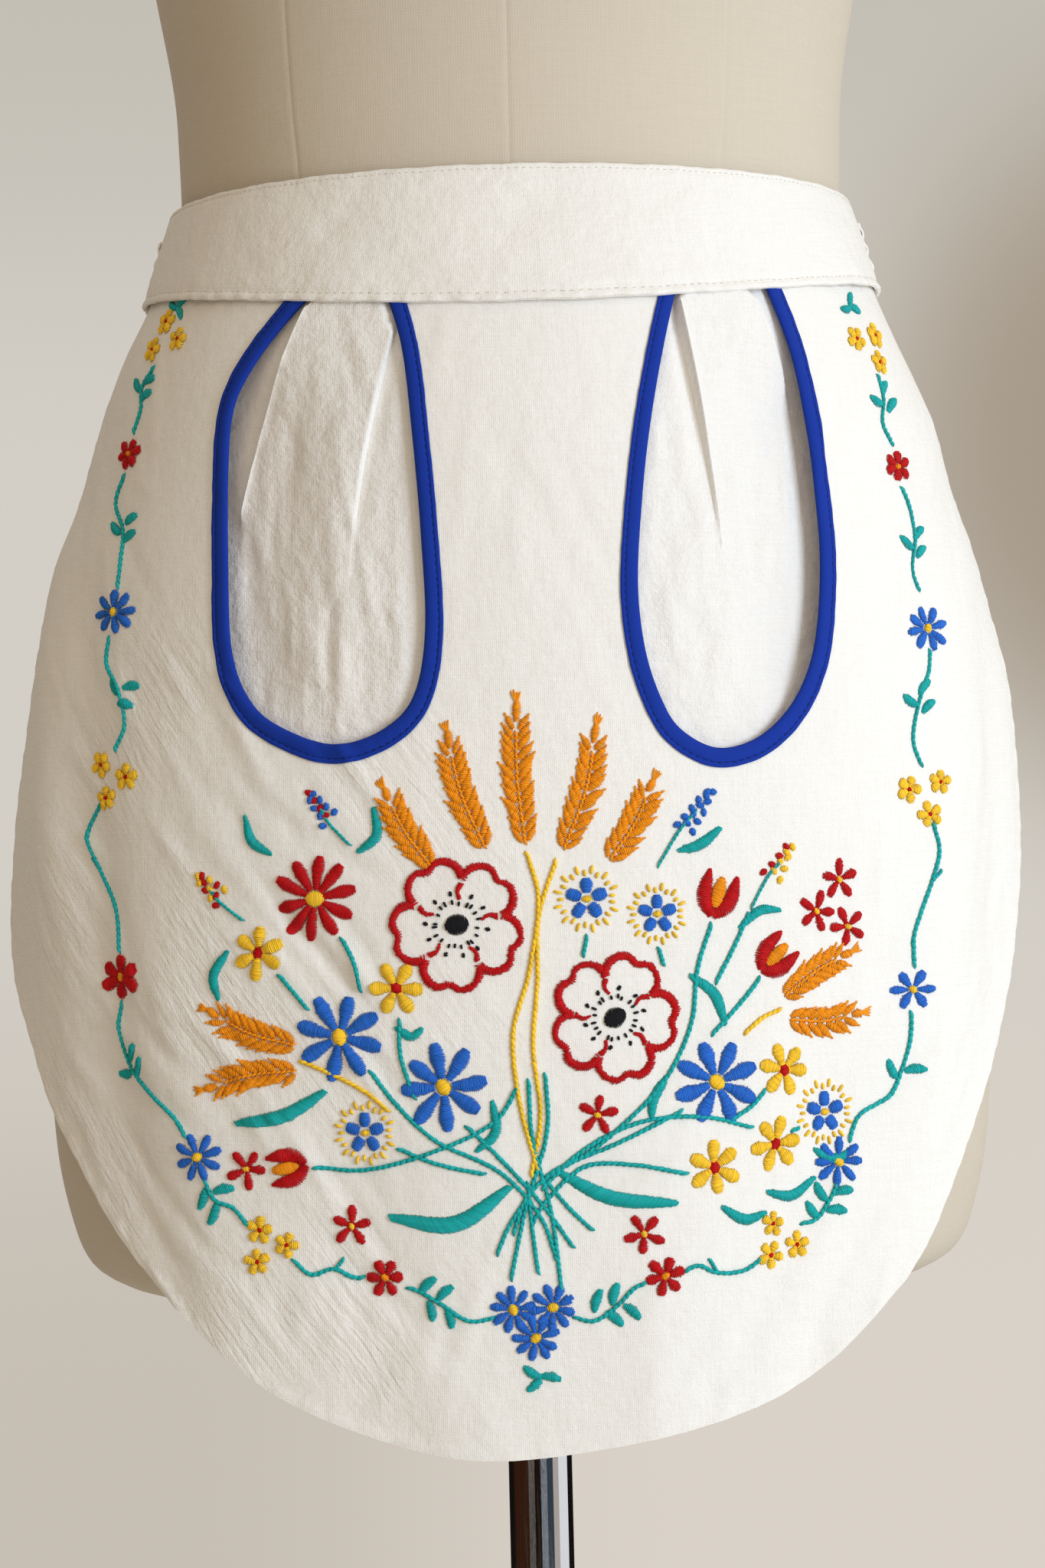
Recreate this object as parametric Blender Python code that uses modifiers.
"""Half apron worn by a limbless dress form on a pole stand.

Metres, +Z up. The origin is on the floor under the pole. The wearer's front faces -Y, so the
viewer's right is +X. Heights called "up" are measured from the form's waistline.

The cloth is worked out as it is sewn: each panel is cut flat, in distances "across" from the
centre front and "up" from the waist, and is then laid on the curved surface of the worn apron.
"""
import math
from collections import namedtuple

import bmesh
import bpy
import numpy as np
from mathutils import Vector
from mathutils.geometry import delaunay_2d_cdt

# Stand
WAIST_HEIGHT = 1.030
BASE_RADIUS = 0.210
BASE_THICKNESS = 0.006
BASE_EDGE = 0.002
POLE_RADIUS = 0.0125
FLANGE_RADIUS = 0.045
FLANGE_HEIGHT = 0.022
TOUCH_GAP = 0.0003

# Dress form, as horizontal sections: half width, depth to the front and depth to the back
Section = namedtuple("Section", "up half_width front back")
TORSO = [
    Section(-0.413, 0.112, 0.078, 0.080),
    Section(-0.409, 0.142, 0.096, 0.098),
    Section(-0.404, 0.160, 0.106, 0.108),
    Section(-0.397, 0.170, 0.111, 0.114),
    Section(-0.386, 0.1753, 0.1138, 0.1168),
    Section(-0.350, 0.1825, 0.1170, 0.1210),
    Section(-0.300, 0.185, 0.119, 0.124),
    Section(-0.240, 0.184, 0.120, 0.126),
    Section(-0.184, 0.179, 0.118, 0.124),
    Section(-0.135, 0.169, 0.115, 0.118),
    Section(-0.105, 0.160, 0.112, 0.112),
    Section(-0.068, 0.1475, 0.1075, 0.104),
    Section(-0.030, 0.1340, 0.1030, 0.094),
    Section(0.000, 0.1290, 0.0990, 0.088),
    Section(0.045, 0.1300, 0.0985, 0.089),
    Section(0.094, 0.1370, 0.1080, 0.095),
    Section(0.150, 0.1480, 0.1185, 0.103),
    Section(0.200, 0.1570, 0.1240, 0.108),
    Section(0.245, 0.1640, 0.1225, 0.111),
    Section(0.290, 0.1720, 0.1140, 0.112),
    Section(0.330, 0.1790, 0.1005, 0.109),
    Section(0.360, 0.1800, 0.0870, 0.103),
    Section(0.380, 0.1760, 0.0770, 0.096),
    Section(0.395, 0.1500, 0.0710, 0.089),
    Section(0.408, 0.1150, 0.0650, 0.081),
    Section(0.421, 0.0820, 0.0600, 0.073),
    Section(0.436, 0.0620, 0.0560, 0.066),
    Section(0.458, 0.0560, 0.0540, 0.060),
    Section(0.490, 0.0545, 0.0530, 0.057),
]
TORSO_POINTS_ROUND = 40
TORSO_RINGS = 34
# The hips stand a little to the left of the pole, and move over to it up the waist
HIP_LEAN, LEAN_FROM, LEAN_FULL = -0.0040, -0.110, -0.330
ARM_PLATE_HALF_WIDTH = 0.170
ARM_PLATE_FROM = 0.240
BUST_MOUND = {"across": 0.068, "up": 0.205, "spread": 0.078, "height": 0.009}
NECK_CAP_HEIGHT = 0.016

# Worn apron: the outer face of the cloth, as horizontal sections with a half width on each side
Drape = namedtuple("Drape", "up left right front")
DRAPE = [
    Drape(-0.460, 0.2065, 0.1985, 0.1365),
    Drape(-0.300, 0.2045, 0.1965, 0.1335),
    Drape(-0.230, 0.2005, 0.1945, 0.1315),
    Drape(-0.184, 0.1935, 0.1910, 0.1295),
    Drape(-0.150, 0.1870, 0.1832, 0.1275),
    Drape(-0.128, 0.1815, 0.1775, 0.1259),
    Drape(-0.105, 0.1725, 0.1700, 0.1235),
    Drape(-0.080, 0.1650, 0.1640, 0.1200),
    Drape(-0.060, 0.1585, 0.1560, 0.1169),
    Drape(-0.045, 0.1520, 0.1492, 0.1142),
    Drape(-0.026, 0.1425, 0.1415, 0.1102),
    Drape(0.009, 0.1325, 0.1318, 0.1030),
]
CLOTH = 0.001

# Soft folds of the skirt: ridges where height is positive, troughs where it is negative
Fold = namedtuple("Fold", "across lean spread height top bottom")
FOLDS = [
    Fold(-0.212, 0.10, 0.016, 0.0040, -0.090, -0.260),
    Fold(-0.182, 0.12, 0.015, -0.0026, -0.150, -0.340),
    Fold(-0.150, 0.22, 0.017, 0.0024, -0.240, -0.430),
    Fold(-0.070, 0.10, 0.020, -0.0020, -0.290, -0.470),
    Fold(0.055, -0.08, 0.022, 0.0022, -0.300, -0.470),
    Fold(0.120, -0.15, 0.018, -0.0022, -0.260, -0.440),
    Fold(0.178, -0.14, 0.015, 0.0028, -0.170, -0.370),
    Fold(0.212, -0.08, 0.014, -0.0026, -0.120, -0.300),
]

# Front panel, cut flat: its free edge from the left end of the band round to the right end
HEM = [
    (-0.2015, -0.0265), (-0.2140, -0.0620), (-0.2265, -0.1050), (-0.2325, -0.1500), (-0.2335, -0.1950),
    (-0.2385, -0.2350), (-0.2405, -0.2600), (-0.2315, -0.2830), (-0.2140, -0.3060), (-0.1985, -0.3300),
    (-0.1819, -0.3505), (-0.1600, -0.3770), (-0.1250, -0.4080), (-0.0850, -0.4350), (-0.0290, -0.4515),
    (0.0290, -0.4480), (0.0930, -0.4325), (0.1300, -0.4060), (0.1480, -0.3880), (0.1610, -0.3690),
    (0.1825, -0.3370), (0.2070, -0.2990), (0.2190, -0.2710), (0.2300, -0.2400), (0.2345, -0.1950),
    (0.2330, -0.1500), (0.2265, -0.1050), (0.2140, -0.0620), (0.2015, -0.0265),
]
HEM_POINTS = 88
FRONT_SPACING = 0.0140

# Waistband: its upper edge is level and its lower edge climbs towards the sides
BAND_TOP_UP = 0.009
BAND_LOWER_UP = -0.042
BAND_LOWER_RISE = 0.016
BAND_END_ANGLE = 94.0
BAND_STEPS = 44
BAND_PROUD_TOP = 0.0005
BAND_PROUD_LOWER = 0.0015
BAND_BACK_TOP = 0.0017
BAND_BACK_LOWER = 0.0052
BAND_LEG = 0.0011
SEAM_DEPTH = 0.005

# Pocket windows, cut down from the seam, and the tape that binds them
WINDOWS = {
    "left": [(-0.0700, -0.0300), (-0.0863, -0.0450), (-0.0993, -0.0595), (-0.1080, -0.0745), (-0.1103, -0.0950),
             (-0.1096, -0.1300), (-0.1080, -0.1650), (-0.0992, -0.1852), (-0.0842, -0.1955), (-0.0667, -0.2003),
             (-0.0493, -0.1952), (-0.0378, -0.1833), (-0.0331, -0.1600), (-0.0339, -0.1260), (-0.0364, -0.0900),
             (-0.0399, -0.0567), (-0.0475, -0.0300)],
    "right": [(0.0612, -0.0300), (0.0536, -0.0585), (0.0477, -0.0865), (0.0437, -0.1145), (0.0413, -0.1450),
              (0.0434, -0.1690), (0.0490, -0.1870), (0.0559, -0.1977), (0.0690, -0.2046), (0.0835, -0.2021),
              (0.0959, -0.1931), (0.1050, -0.1802), (0.1110, -0.1625), (0.1142, -0.1350), (0.1134, -0.1065),
              (0.1108, -0.0810), (0.1066, -0.0567), (0.0970, -0.0300)],
}
WINDOW_POINTS = 46
TAPE_WIDTH = 0.0056
TAPE = 0.0010
TAPE_BELOW_BAND = 0.0005

# Pocket bags, behind the windows: each stands away from the front on its outer side, where the
# hand goes in, and has two pressed tucks that run down from the band and die out
Bag = namedtuple("Bag", "inner_side outer_side bottom corner")
BAGS = {"left": Bag(0.0255, 0.138, -0.216, 0.040), "right": Bag(0.0335, 0.138, -0.216, 0.040)}
BAG_SPACING = 0.0090
BAG_BACK = 0.0027
MOUTH_DEPTH = 0.0056
MOUTH_FROM = 0.062
MOUTH_FULL = 0.104
MOUTH_TOP = -0.050
MOUTH_BOTTOM = -0.190
Tuck = namedtuple("Tuck", "top_across foot_across foot_up bow height slope")
TUCKS = {
    "left": [Tuck(-0.0752, -0.1127, -0.134, -0.0053, 0.0028, -1), Tuck(-0.0380, -0.0612, -0.134, -0.0036, 0.0026, 1)],
    "right": [Tuck(0.0590, 0.0738, -0.126, 0.0012, 0.0030, -1), Tuck(0.0905, 0.1105, -0.084, 0.0030, 0.0030, 1)],
}
TUCK_TOP_UP = -0.036
TUCK_EDGE = 0.0012
TUCK_FADE = 0.022
RELIEF_FROM = 0.0021
UNDER_BAND = 0.0012

# Ties, from the ends of the band round to a knot at the centre back, with two hanging ends
TIE = 0.0012
TIE_GATHERED = 0.0030
TIE_START_ANGLE = 88.0
TIE_START_WIDTH = 0.019
TIE_WIDTH = 0.030
TIE_UP = -0.008
TIE_STEPS = 26
TIE_OFF_FORM = 0.0009
TIE_OFF_BAND = 0.0019
TIE_LIFT_AT_KNOT = 0.0045
KNOT_SIZE = (0.034, 0.013, 0.032)
KNOT_ROUNDING = 0.0035
KNOT_OFF_FORM = 0.0006
TAIL_OFF_FORM = 0.0016
TAIL_STEPS = 24
Tail = namedtuple("Tail", "top_across foot_across length foot_width slant")
TAILS = {"left": Tail(-0.0085, -0.034, 0.330, 0.030, 0.008), "right": Tail(0.0085, 0.029, 0.290, 0.030, -0.008)}
TAIL_TOP_WIDTH = 0.015

Finish = namedtuple("Finish", "color roughness metallic")
FINISHES = {
    "form_linen": Finish((0.72, 0.64, 0.52), 0.90, 0.0),
    "white_cotton": Finish((0.86, 0.83, 0.78), 0.85, 0.0),
    "blue_tape": Finish((0.02, 0.06, 0.42), 0.75, 0.0),
    "chrome": Finish((0.80, 0.80, 0.82), 0.08, 1.0),
    "white_enamel": Finish((0.80, 0.79, 0.77), 0.35, 0.0),
}


# Scene and materials
def clear_scene():
    for item in list(bpy.data.objects):
        bpy.data.objects.remove(item, do_unlink=True)


def make_material(name):
    finish = FINISHES[name]
    material = bpy.data.materials.new(name)
    material.use_nodes = True
    shader = material.node_tree.nodes["Principled BSDF"]
    shader.inputs["Base Color"].default_value = (*finish.color, 1.0)
    shader.inputs["Roughness"].default_value = finish.roughness
    shader.inputs["Metallic"].default_value = finish.metallic
    return material


def add_object(name, mesh, collection, material, smooth_angle=40.0):
    item = bpy.data.objects.new(name, mesh)
    collection.objects.link(item)
    mesh.materials.append(material)
    mesh.shade_smooth()
    mesh.set_sharp_from_angle(angle=math.radians(smooth_angle))
    return item


def mesh_from(name, points, faces):
    """A mesh from points in metres above the floor, with its faces turned outward."""
    mesh = bpy.data.meshes.new(name)
    mesh.from_pydata([tuple(p) for p in points], [], [tuple(f) for f in faces])
    shape = bmesh.new()
    shape.from_mesh(mesh)
    bmesh.ops.recalc_face_normals(shape, faces=shape.faces)
    if shape.calc_volume(signed=True) < 0:
        bmesh.ops.reverse_faces(shape, faces=shape.faces)
    shape.to_mesh(mesh)
    shape.free()
    return mesh


def loft(name, rings):
    """A closed body through rings of equal count, with a flat face on each end."""
    count = len(rings[0])
    points = [p for ring in rings for p in ring]
    faces = [list(range(count)), list(range(len(points) - count, len(points)))]
    for row in range(len(rings) - 1):
        for i in range(count):
            j = (i + 1) % count
            faces.append([row * count + i, row * count + j, (row + 1) * count + j, (row + 1) * count + i])
    return mesh_from(name, points, faces)


# Curves
def smooth_step(value):
    t = np.clip(value, 0.0, 1.0)
    return t * t * (3.0 - 2.0 * t)


def read_curve(x, xs, ys):
    """A curve through rising xs that never overshoots its points."""
    xs, ys = np.asarray(xs, float), np.asarray(ys, float)
    step = np.diff(xs)
    rise = np.diff(ys) / step
    slope = np.empty_like(ys)
    slope[0], slope[-1] = rise[0], rise[-1]
    for i in range(1, len(xs) - 1):
        slope[i] = 0.0
        if rise[i - 1] * rise[i] > 0:
            before, after = 2 * step[i] + step[i - 1], step[i] + 2 * step[i - 1]
            slope[i] = (before + after) / (before / rise[i - 1] + after / rise[i])
    x = np.clip(x, xs[0], xs[-1])
    i = np.clip(np.searchsorted(xs, x) - 1, 0, len(xs) - 2)
    t = (x - xs[i]) / step[i]
    return ((2 * t**3 - 3 * t**2 + 1) * ys[i] + (t**3 - 2 * t**2 + t) * step[i] * slope[i]
            + (3 * t**2 - 2 * t**3) * ys[i + 1] + (t**3 - t**2) * step[i] * slope[i + 1])


def column(table, name):
    return [getattr(row, name) for row in table]


def even_points(points, count):
    """A smooth line through the points, read again at even distances."""
    points = np.array(points, float)
    ends = np.vstack([2 * points[0] - points[1], points, 2 * points[-1] - points[-2]])
    fine = []
    for a, b, c, d in zip(ends, ends[1:], ends[2:], ends[3:]):
        for t in np.linspace(0, 1, 24, endpoint=False):
            fine.append(0.5 * (2 * b + (c - a) * t + (2 * a - 5 * b + 4 * c - d) * t**2
                               + (3 * b - a - 3 * c + d) * t**3))
    fine = np.array(fine + [points[-1]])
    run = np.concatenate([[0], np.cumsum(np.linalg.norm(np.diff(fine, axis=0), axis=1))])
    places = np.linspace(0, run[-1], count)
    return np.stack([np.interp(places, run, fine[:, 0]), np.interp(places, run, fine[:, 1])], axis=1)


# Dress form
def torso_size(up, name):
    return read_curve(up, column(TORSO, "up"), column(TORSO, name))


def torso_points(up, angles):
    """One ring of the form: angle 0 is the centre front, a quarter turn is the wearer's side."""
    half_width = torso_size(up, "half_width")
    front, back = torso_size(up, "front"), torso_size(up, "back")
    x = half_width * np.sin(angles)
    y = -np.where(np.cos(angles) > 0, front, back) * np.cos(angles)
    mound = BUST_MOUND
    reach = ((np.abs(x) - mound["across"]) ** 2 + (up - mound["up"]) ** 2) / mound["spread"] ** 2
    y = np.where(np.cos(angles) > 0, y - mound["height"] * np.exp(-reach) * np.cos(angles), y)
    if up > ARM_PLATE_FROM:
        x = np.clip(x, -ARM_PLATE_HALF_WIDTH, ARM_PLATE_HALF_WIDTH)
    x = x + HIP_LEAN * smooth_step((up - LEAN_FROM) / (LEAN_FULL - LEAN_FROM))
    return [(px, py, WAIST_HEIGHT + up) for px, py in zip(x, y)]


def torso_heights():
    """Ring heights, closer where the outline turns quickly."""
    ups = np.array(column(TORSO, "up"))
    turning = np.arange(len(ups)) / (len(ups) - 1)
    blend = np.linspace(0, 1, TORSO_RINGS)
    return np.interp(blend, turning, ups)


def make_torso(collection, material):
    angles = np.linspace(0, 2 * math.pi, TORSO_POINTS_ROUND, endpoint=False)
    rings = [torso_points(up, angles) for up in torso_heights()]
    return add_object("torso", loft("torso", rings), collection, material, 50.0)


def turned(name, profile, collection, material, segments):
    """A turned piece: the profile runs down its outer side and is spun about the pole's axis."""
    mesh = bpy.data.meshes.new(name)
    points = [(radius, 0.0, height) for radius, height in profile]
    mesh.from_pydata(points, [(i, i + 1) for i in range(len(points) - 1)], [])
    item = add_object(name, mesh, collection, material)
    screw = item.modifiers.new("Turn", "SCREW")
    screw.steps = screw.render_steps = segments
    screw.use_merge_vertices = True
    screw.merge_threshold = 0.00001
    screw.use_smooth_shade = True
    return item


def make_stand(collection, chrome, enamel):
    form_bottom = WAIST_HEIGHT + TORSO[0].up
    flange_top = form_bottom - TOUCH_GAP
    turned("base", [(0.0, BASE_THICKNESS), (BASE_RADIUS - BASE_EDGE, BASE_THICKNESS),
                    (BASE_RADIUS - 0.3 * BASE_EDGE, BASE_THICKNESS - 0.3 * BASE_EDGE),
                    (BASE_RADIUS, BASE_THICKNESS - BASE_EDGE), (BASE_RADIUS, 0.0), (0.0, 0.0)],
           collection, enamel, 64)
    bpy.ops.mesh.primitive_cylinder_add(
        vertices=32, radius=POLE_RADIUS,
        depth=flange_top - FLANGE_HEIGHT - BASE_THICKNESS - 2 * TOUCH_GAP,
        location=(0, 0, (flange_top - FLANGE_HEIGHT + BASE_THICKNESS) / 2))
    pole = bpy.context.active_object
    pole.name = "pole"
    for holder in list(pole.users_collection):
        holder.objects.unlink(pole)
    collection.objects.link(pole)
    pole.data.materials.append(chrome)
    pole.data.shade_smooth()
    pole.data.set_sharp_from_angle(angle=math.radians(40.0))
    neck = POLE_RADIUS + 0.006
    turned("pole_flange", [(0.0, flange_top), (FLANGE_RADIUS, flange_top),
                           (FLANGE_RADIUS, flange_top - 0.004), (neck, flange_top - 0.008),
                           (neck, flange_top - FLANGE_HEIGHT), (0.0, flange_top - FLANGE_HEIGHT)],
           collection, chrome, 40)
    cap_bottom = WAIST_HEIGHT + TORSO[-1].up + TOUCH_GAP
    cap_radius = TORSO[-1].front
    turned("neck_cap", [(0.0, cap_bottom + NECK_CAP_HEIGHT),
                        (0.6 * cap_radius, cap_bottom + 0.85 * NECK_CAP_HEIGHT),
                        (0.92 * cap_radius, cap_bottom + 0.5 * NECK_CAP_HEIGHT),
                        (cap_radius, cap_bottom + 0.25 * NECK_CAP_HEIGHT),
                        (cap_radius, cap_bottom), (0.0, cap_bottom)],
           collection, chrome, 40)


# The worn surface
GAUSS_AT, GAUSS_WEIGHT = np.polynomial.legendre.leggauss(10)


def drape_front(up):
    return read_curve(up, column(DRAPE, "up"), column(DRAPE, "front"))


def drape_half(up, side):
    """Half width of the worn apron: side is negative to the left and positive to the right."""
    ups = column(DRAPE, "up")
    return np.where(np.asarray(side) < 0, read_curve(up, ups, column(DRAPE, "left")),
                    read_curve(up, ups, column(DRAPE, "right")))


def arc_length(angle, half_width, depth):
    """Distance along an ellipse from its front point to an angle."""
    flatness = 1 - (depth / half_width) ** 2
    inner = np.multiply.outer(angle, (GAUSS_AT + 1) / 2)
    pace = np.sqrt(1 - flatness[..., None] * np.sin(inner) ** 2)
    return half_width * angle * (pace * GAUSS_WEIGHT / 2).sum(axis=-1)


def angle_at(across, half_width, depth):
    """The angle on an ellipse at a distance along it from its front point."""
    angle = across / half_width
    for _ in range(6):
        pace = np.sqrt((half_width * np.cos(angle)) ** 2 + (depth * np.sin(angle)) ** 2)
        angle = angle - (arc_length(angle, half_width, depth) - across) / pace
    return angle


def fold_height(across, up):
    total = np.zeros(np.broadcast(across, up).shape)
    for fold in FOLDS:
        middle = fold.across + fold.lean * (fold.top - up)
        span = (fold.top - up) / (fold.top - fold.bottom)
        along = smooth_step(span / 0.45) * smooth_step((1.25 - span) / 0.45)
        total = total + fold.height * along * np.exp(-((across - middle) / fold.spread) ** 2)
    return total


def plain_surface(across, up):
    half_width, depth = drape_half(up, across), drape_front(up)
    angle = angle_at(across, half_width, depth)
    lifted = 1 + fold_height(across, up) / np.hypot(half_width * np.sin(angle), depth * np.cos(angle))
    return np.stack([half_width * np.sin(angle) * lifted, -depth * np.cos(angle) * lifted,
                     WAIST_HEIGHT + up], axis=-1)


def worn(across, up, out):
    """Flat cloth places to places on the worn apron, moved out of its outer face by out."""
    across, up = np.asarray(across, float), np.asarray(up, float)
    near = 0.0005
    along = plain_surface(across + near, up) - plain_surface(across - near, up)
    climb = plain_surface(across, up + near) - plain_surface(across, up - near)
    normal = np.cross(along, climb)
    normal /= np.linalg.norm(normal, axis=-1, keepdims=True)
    return plain_surface(across, up) + normal * np.asarray(out, float)[..., None]


# Flat cutting
def band_lower_edge(across):
    """Height of the band's lower edge over a place of the front panel."""
    across = np.asarray(across, float)
    edge = np.full(across.shape, BAND_LOWER_UP)
    for _ in range(4):
        angle = angle_at(across, drape_half(edge, across), drape_front(edge))
        edge = BAND_LOWER_UP + BAND_LOWER_RISE * np.sin(angle) ** 2
    return edge


def seam_edge(across):
    """Upper raw edge of the panels, hidden between the legs of the band."""
    return band_lower_edge(across) + SEAM_DEPTH - TOUCH_GAP


def window_curve(side):
    """The bound edge of a pocket window, trimmed where it meets the band."""
    points = even_points(WINDOWS[side], 400)
    below = points[points[:, 1] < band_lower_edge(points[:, 0]) - TAPE_BELOW_BAND]
    return even_points(below[::6], WINDOW_POINTS)


def window_notch(side):
    """The window as the front panel is cut: its sides run on up to the hidden raw edge."""
    points = window_curve(side)
    first, last = points[0], points[-1]
    top = seam_edge(np.array([first[0], last[0]]))
    return np.vstack([[first[0], top[0]], points, [last[0], top[1]]])


def top_run(start, end, spacing):
    """The raw edge between two places across."""
    across = np.linspace(start, end, max(2, round(abs(end - start) / spacing) + 1))
    return np.stack([across, seam_edge(across)], axis=1)


def front_outline():
    left, right = window_notch("left"), window_notch("right")
    hem = even_points(HEM, HEM_POINTS)
    hem[[0, -1], 1] = seam_edge(hem[[0, -1], 0])
    below_band = band_lower_edge(hem[[0, -1], 0]) - UNDER_BAND
    hem = np.vstack([hem[0], (hem[0][0], below_band[0]), hem[1:-1], (hem[-1][0], below_band[1]), hem[-1]])
    runs = [
        hem, top_run(hem[-1][0], right[-1][0], FRONT_SPACING)[1:-1], right[::-1],
        top_run(right[0][0], left[-1][0], FRONT_SPACING)[1:-1], left[::-1],
        top_run(left[0][0], hem[0][0], FRONT_SPACING)[1:-1],
    ]
    return np.vstack(runs)


def bag_outline(side):
    bag = BAGS[side]
    sign = -1 if side == "left" else 1
    turn = np.linspace(0, math.pi / 2, 9)
    inner = [(bag.inner_side + bag.corner * (1 - math.cos(t)), bag.bottom + bag.corner * (1 - math.sin(t)))
             for t in turn]
    outer = [(bag.outer_side - bag.corner * (1 - math.sin(t)), bag.bottom + bag.corner * (1 - math.cos(t)))
             for t in turn]
    flat_run = np.linspace(inner[-1][0], outer[0][0], 5)[1:-1]
    heights = np.linspace(bag.bottom + bag.corner, -0.046, 16)[1:]
    rows = [(bag.inner_side, up) for up in heights[::-1]] + inner
    rows += [(a, bag.bottom) for a in flat_run] + outer + [(bag.outer_side, up) for up in heights]
    points = np.array(rows)
    points[:, 0] *= sign
    top = top_run(points[-1][0], points[0][0], BAG_SPACING)
    outline = np.vstack([points, top])
    return outline if sign > 0 else outline[::-1]


def inside(points, outline):
    """True for points inside a closed outline."""
    x, y = points[:, 0], points[:, 1]
    found = np.zeros(len(points), bool)
    for (x1, y1), (x2, y2) in zip(outline, np.roll(outline, -1, axis=0)):
        if y1 == y2:
            continue
        crosses = ((y1 > y) != (y2 > y)) & (x < (x2 - x1) * (y - y1) / (y2 - y1) + x1)
        found ^= crosses
    return found


def fill_outline(outline, spacing, own_rows=()):
    """Triangles over a flat outline, with a staggered net of points inside it."""
    low, high = outline.min(axis=0), outline.max(axis=0)
    net = []
    for row, up in enumerate(np.arange(low[1], high[1], spacing * math.sqrt(3) / 2)):
        shift = 0.5 * spacing * (row % 2)
        net += [(across, up) for across in np.arange(low[0] + shift, high[0], spacing)]
    net = np.array(net)
    guides = np.vstack([outline, *own_rows]) if len(own_rows) else outline
    gap = np.min(np.linalg.norm(net[:, None] - guides[None], axis=2), axis=1)
    net = net[(gap > 0.55 * spacing) & inside(net, outline)]
    points = np.vstack([outline, *own_rows, net])
    ring = list(range(len(outline)))
    edges = [(i, (i + 1) % len(ring)) for i in ring]
    start = len(outline)
    for row in own_rows:
        edges += [(start + i, start + i + 1) for i in range(len(row) - 1)]
        start += len(row)
    made = delaunay_2d_cdt([Vector(p) for p in points], edges, [ring], 1, 1e-7)
    return np.array([tuple(v) for v in made[0]]), [list(f) for f in made[2]]


def sewn_wall(name, flat, triangles, outer, inner):
    """A closed wall of cloth over a flat piece: an outer face, an inner face and the cut edge."""
    count = len(flat)
    turned_right = []
    for a, b, c in triangles:
        (ax, ay), (bx, by), (cx, cy) = flat[a], flat[b], flat[c]
        area = (bx - ax) * (cy - ay) - (by - ay) * (cx - ax)
        turned_right.append((a, b, c) if area > 0 else (a, c, b))
    faces = turned_right + [(a + count, c + count, b + count) for a, b, c in turned_right]
    sides = {}
    for a, b, c in turned_right:
        for edge in ((a, b), (b, c), (c, a)):
            sides[edge] = True
    for a, b in sides:
        if (b, a) not in sides:
            faces.append((a, a + count, b + count, b))
    points = np.vstack([worn(flat[:, 0], flat[:, 1], outer), worn(flat[:, 0], flat[:, 1], inner)])
    return mesh_from(name, points, faces)


def rows_under_band():
    """Rows of points along the band's lower edge, so that the front lies flat between its legs."""
    left, right = window_notch("left"), window_notch("right")
    rows = []
    for start, end in ((HEM[0][0], left[0][0]), (left[-1][0], right[0][0]), (right[-1][0], HEM[-1][0])):
        inset = 0.4 * FRONT_SPACING
        across = np.linspace(start + inset, end - inset, max(3, round((end - start) / FRONT_SPACING)))
        rows.append(np.stack([across, band_lower_edge(across) - UNDER_BAND], axis=1))
    return rows


def make_front(collection, material):
    flat, triangles = fill_outline(front_outline(), FRONT_SPACING, rows_under_band())
    zero = np.zeros(len(flat))
    mesh = sewn_wall("apron_front", flat, triangles, zero, zero - CLOTH)
    return add_object("apron_front", mesh, collection, material)


# Pocket bags
def tuck_line(tuck, up):
    """Where the pressed edge of a tuck lies at a height."""
    share = (TUCK_TOP_UP - up) / (TUCK_TOP_UP - tuck.foot_up)
    return tuck.top_across + (tuck.foot_across - tuck.top_across) * share + tuck.bow * 4 * share * (1 - share)


def tuck_relief(side, across, up):
    """The middle of the bag lies over its edges: each tuck is a step that dies out at its foot."""
    outer, inner = TUCKS[side]
    relief = np.zeros(np.shape(across))
    for tuck in (outer, inner):
        share = (TUCK_TOP_UP - up) / (TUCK_TOP_UP - tuck.foot_up)
        height = tuck.height * (1 - np.clip(share, 0, 1) ** 2)
        past = tuck.slope * (tuck_line(tuck, up) - across)
        step = smooth_step(past / TUCK_EDGE + 0.5) * np.exp(-(np.clip(past, 0, 1) / TUCK_FADE) ** 2)
        relief = relief + height * step
    return relief


def bag_depth(across, up):
    """How far the bag lies behind the outer face of the front panel."""
    reach = smooth_step((np.abs(across) - MOUTH_FROM) / (MOUTH_FULL - MOUTH_FROM))
    top = smooth_step((MOUTH_TOP + 0.012 - up) / 0.045)
    foot = smooth_step((up - MOUTH_BOTTOM + 0.020) / 0.045)
    return BAG_BACK + MOUTH_DEPTH * reach * top * foot


def outward_of(edge):
    """Unit directions across a window's edge, away from the opening."""
    heading = np.gradient(edge, axis=0)
    heading /= np.linalg.norm(heading, axis=1, keepdims=True)
    outward = np.stack([heading[:, 1], -heading[:, 0]], axis=1)
    return outward if outward[len(edge) // 2][1] < 0 else -outward


def tuck_rows(side):
    """Rows of points on both sides of each pressed edge, just inside the tape and under the band."""
    edge = window_curve(side)
    inset = edge - outward_of(edge) * RELIEF_FROM
    inset[[0, -1], 1] -= 0.002
    bag = BAGS[side]
    sign = -1 if side == "left" else 1
    under = sign * np.linspace(bag.inner_side, bag.outer_side, 16)[1:-1]
    rows = [even_points(inset, 36), np.stack([under, band_lower_edge(under) - UNDER_BAND], axis=1)]
    for tuck in TUCKS[side]:
        ups = np.linspace(TUCK_TOP_UP - 0.008, tuck.foot_up + 0.006, 13)
        for offset in (-0.5 * TUCK_EDGE, 0.5 * TUCK_EDGE):
            rows.append(np.stack([tuck_line(tuck, ups) + offset, ups], axis=1))
    return rows


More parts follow.
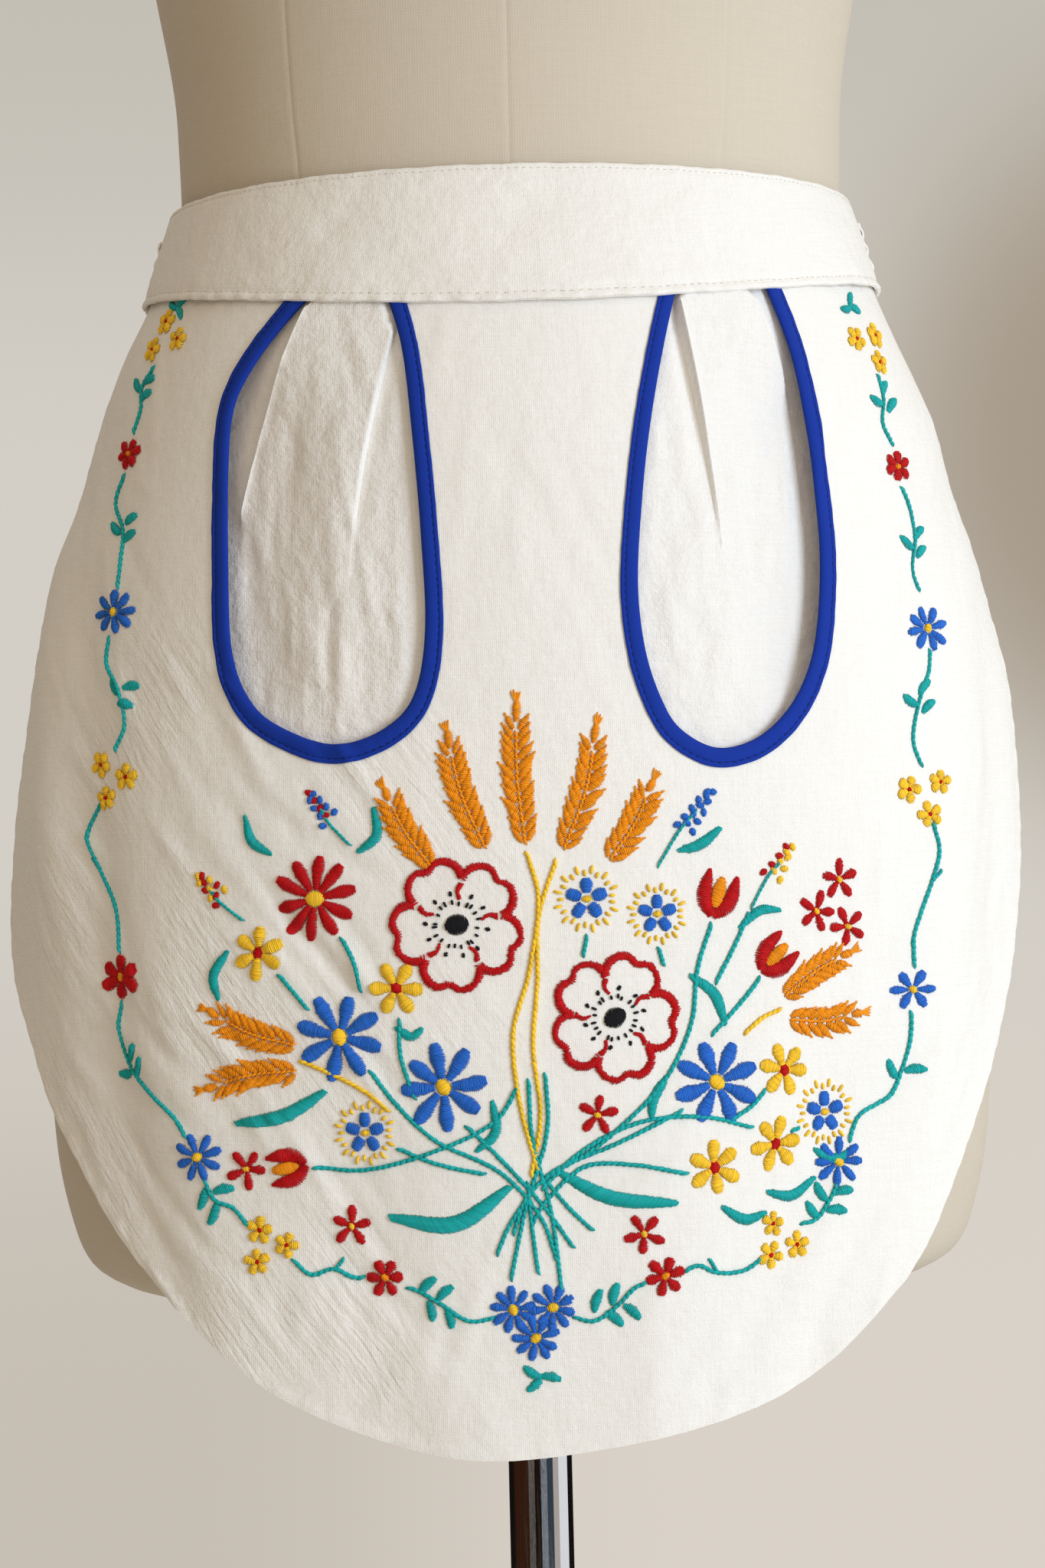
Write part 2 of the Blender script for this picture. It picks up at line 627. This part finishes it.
def make_bag(side, collection, material):
    name = "pocket_bag_" + side
    outline = bag_outline(side)
    flat, triangles = fill_outline(outline, BAG_SPACING, tuck_rows(side))
    across, up = flat[:, 0], flat[:, 1]
    depth = bag_depth(across, up)
    clear_of_band = smooth_step((band_lower_edge(across) - up - UNDER_BAND - 0.0003) / 0.005)
    relief = tuck_relief(side, across, up) * clear_of_band * under_window(side, flat)
    mesh = sewn_wall(name, flat, triangles, relief - depth, -depth - CLOTH)
    return add_object(name, mesh, collection, material)


def under_window(side, flat):
    """1 where the bag shows through its window and 0 where the tape and the front cover it."""
    edge = window_curve(side)
    gap = np.min(np.linalg.norm(flat[:, None] - edge[None], axis=2), axis=1)
    shown = inside(flat, edge)
    return np.where(shown, smooth_step((gap - RELIEF_FROM - 0.0002) / 0.0070), 0.0)


# Bias tape
def tape_profile():
    """The folded tape as (out from the cut edge, out from the cloth's face): two legs and a fold."""
    front, back = TOUCH_GAP + TAPE, -CLOTH - TOUCH_GAP - TAPE
    fold = -TOUCH_GAP - TAPE
    return [(TAPE_WIDTH, front), (fold + 0.4 * TAPE, front), (fold, front - 0.4 * TAPE),
            (fold, back + 0.4 * TAPE), (fold + 0.4 * TAPE, back), (TAPE_WIDTH, back),
            (TAPE_WIDTH, back + TAPE), (-TOUCH_GAP, back + TAPE), (-TOUCH_GAP, front - TAPE),
            (TAPE_WIDTH, front - TAPE)]


def make_tape(side, collection, material):
    name = "binding_" + side
    edge = window_curve(side)
    outward = outward_of(edge)
    rings = []
    for out_of_edge, out_of_face in tape_profile():
        places = edge + outward * out_of_edge
        limit = band_lower_edge(places[:, 0]) - TAPE_BELOW_BAND
        rings.append(worn(places[:, 0], np.minimum(places[:, 1], limit), np.full(len(edge), out_of_face)))
    rings = np.array(rings).transpose(1, 0, 2)
    return add_object(name, loft(name, rings), collection, material)


# Waistband
def band_point(angle, up, out):
    """A place on the band: angle round the waist, height and distance out of the drape surface."""
    half_width = float(drape_half(up, angle)) + out
    depth = float(drape_front(up)) + out
    return (half_width * math.sin(angle), -depth * math.cos(angle), WAIST_HEIGHT + up)


def band_ring(angle):
    """The folded band's section: two legs that hold the raw edges, closed by the upper fold."""
    lower = BAND_LOWER_UP + BAND_LOWER_RISE * math.sin(angle) ** 2
    roof = lower + SEAM_DEPTH
    shoulder = roof + 0.010
    height = BAND_TOP_UP - lower
    proud = [(BAND_PROUD_TOP + (BAND_PROUD_LOWER - BAND_PROUD_TOP) * s, BAND_TOP_UP - height * s)
             for s in (0.03, 0.35, 0.68, 1.0)]
    profile = [(BAND_PROUD_TOP - 0.0009, BAND_TOP_UP)] + proud + [
        (TOUCH_GAP, lower), (TOUCH_GAP, roof), (BAND_LEG - BAND_BACK_LOWER, roof),
        (BAND_LEG - BAND_BACK_LOWER, lower), (-BAND_BACK_LOWER, lower), (-BAND_BACK_LOWER, roof),
        (-BAND_BACK_TOP - 0.0008, shoulder), (-BAND_BACK_TOP, BAND_TOP_UP - 0.0015),
    ]
    return [band_point(angle, up, out) for out, up in profile]


def make_band(collection, material):
    end = math.radians(BAND_END_ANGLE)
    rings = [band_ring(angle) for angle in np.linspace(-end, end, BAND_STEPS + 1)]
    return add_object("waistband", loft("waistband", rings), collection, material)


# Ties
def round_back(angle, up, out):
    """A place off the form's side or back at an angle from the centre front."""
    half_width = float(torso_size(up, "half_width")) + out
    depth = float(torso_size(up, "front" if math.cos(angle) > 0 else "back")) + out
    return (half_width * math.sin(angle), -depth * math.cos(angle), WAIST_HEIGHT + up)


def knot_back():
    """Depth of the form's back behind the lower edge of the knot, where it reaches farthest."""
    return float(torso_size(TIE_UP - KNOT_SIZE[2] / 2, "back"))


def make_tie(side, collection, material):
    name = "tie_" + side
    sign = -1 if side == "left" else 1
    knot_side = KNOT_SIZE[0] / 2 + TOUCH_GAP
    reach = float(torso_size(TIE_UP, "half_width")) + TIE_LIFT_AT_KNOT
    end = math.pi - math.asin((knot_side + 0.0002) / reach)
    start = math.radians(TIE_START_ANGLE)
    off_band = math.radians(BAND_END_ANGLE + 2.0)
    rings = []
    for share in np.linspace(0, 1, TIE_STEPS + 1):
        angle = start + (end - start) * share
        width = TIE_START_WIDTH + (TIE_WIDTH - TIE_START_WIDTH) * float(smooth_step(share / 0.30))
        settle = float(smooth_step((angle - off_band) / math.radians(10)))
        lift = (TIE_LIFT_AT_KNOT - TIE_OFF_FORM) * float(smooth_step((share - 0.82) / 0.18))
        thick = TIE + (TIE_GATHERED - TIE) * (1 - float(smooth_step(share / 0.22)))
        ring = []
        for level, face in ((-0.5, 0), (-0.5, 1), (0, 1), (0.5, 1), (0.5, 0), (0, 0)):
            up = TIE_UP + level * width
            over_band = float(drape_half(up, sign) - torso_size(up, "half_width")) + TIE_OFF_BAND
            out = over_band * (1 - settle) + (TIE_OFF_FORM + lift) * settle + face * thick
            x, y, z = round_back(angle, up, out)
            ring.append((sign * x, y, z))
        rings.append(ring)
    return add_object(name, loft(name, rings), collection, material)


def make_knot(collection, material):
    width, depth, height = KNOT_SIZE
    middle = knot_back() + KNOT_OFF_FORM + depth / 2
    bpy.ops.mesh.primitive_cube_add(size=1.0, location=(0, middle, WAIST_HEIGHT + TIE_UP))
    knot = bpy.context.active_object
    knot.name = "tie_knot"
    knot.data.transform([[width, 0, 0, 0], [0, depth, 0, 0], [0, 0, height, 0], [0, 0, 0, 1]])
    for holder in list(knot.users_collection):
        holder.objects.unlink(knot)
    collection.objects.link(knot)
    knot.data.materials.append(material)
    bevel = knot.modifiers.new("Rounding", "BEVEL")
    bevel.width = KNOT_ROUNDING
    bevel.segments = 3
    return knot


def tail_rest(across, up):
    """Depth at which a hanging end lies: on the form where it swells, and plumb below that."""
    ups = np.linspace(TIE_UP, up, 12)
    widths = np.maximum(torso_size(ups, "half_width"), abs(across) + 0.01)
    depths = torso_size(ups, "back") * np.sqrt(1 - (across / widths) ** 2)
    return float(np.max(depths))


def make_tail(side, collection, material):
    name = "tie_tail_" + side
    tail = TAILS[side]
    top_up = TIE_UP - KNOT_SIZE[2] / 2 - TOUCH_GAP
    start_lift = KNOT_OFF_FORM + 0.5 * KNOT_SIZE[1] - 0.5 * TIE
    rings = []
    for share in np.linspace(0, 1, TAIL_STEPS + 1):
        middle = tail.top_across + (tail.foot_across - tail.top_across) * math.sin(share * math.pi / 2)
        width = TAIL_TOP_WIDTH + (tail.foot_width - TAIL_TOP_WIDTH) * float(smooth_step(share / 0.22))
        base_up = top_up - share * tail.length
        knot_depth = knot_back() + start_lift
        leave = float(smooth_step(share / 0.16))
        ring = []
        for level, face in ((-0.5, 0), (0, 0), (0.5, 0), (0.5, 1), (0, 1), (-0.5, 1)):
            across = middle + level * width
            up = base_up + tail.slant * level * 2 * float(smooth_step((share - 0.8) / 0.2))
            rest = tail_rest(across, up) + TAIL_OFF_FORM
            depth = max(knot_depth * (1 - leave) + rest * leave, rest) + face * TIE
            ring.append((across, depth, WAIST_HEIGHT + up))
        rings.append(ring)
    return add_object(name, loft(name, rings), collection, material)


def main():
    clear_scene()
    parts = bpy.data.collections.new("half_apron_on_dress_form")
    bpy.context.scene.collection.children.link(parts)
    materials = {name: make_material(name) for name in FINISHES}
    cotton = materials["white_cotton"]
    make_torso(parts, materials["form_linen"])
    make_stand(parts, materials["chrome"], materials["white_enamel"])
    make_front(parts, cotton)
    make_band(parts, cotton)
    make_knot(parts, cotton)
    for side in ("left", "right"):
        make_bag(side, parts, cotton)
        make_tape(side, parts, materials["blue_tape"])
        make_tie(side, parts, cotton)
        make_tail(side, parts, cotton)


main()
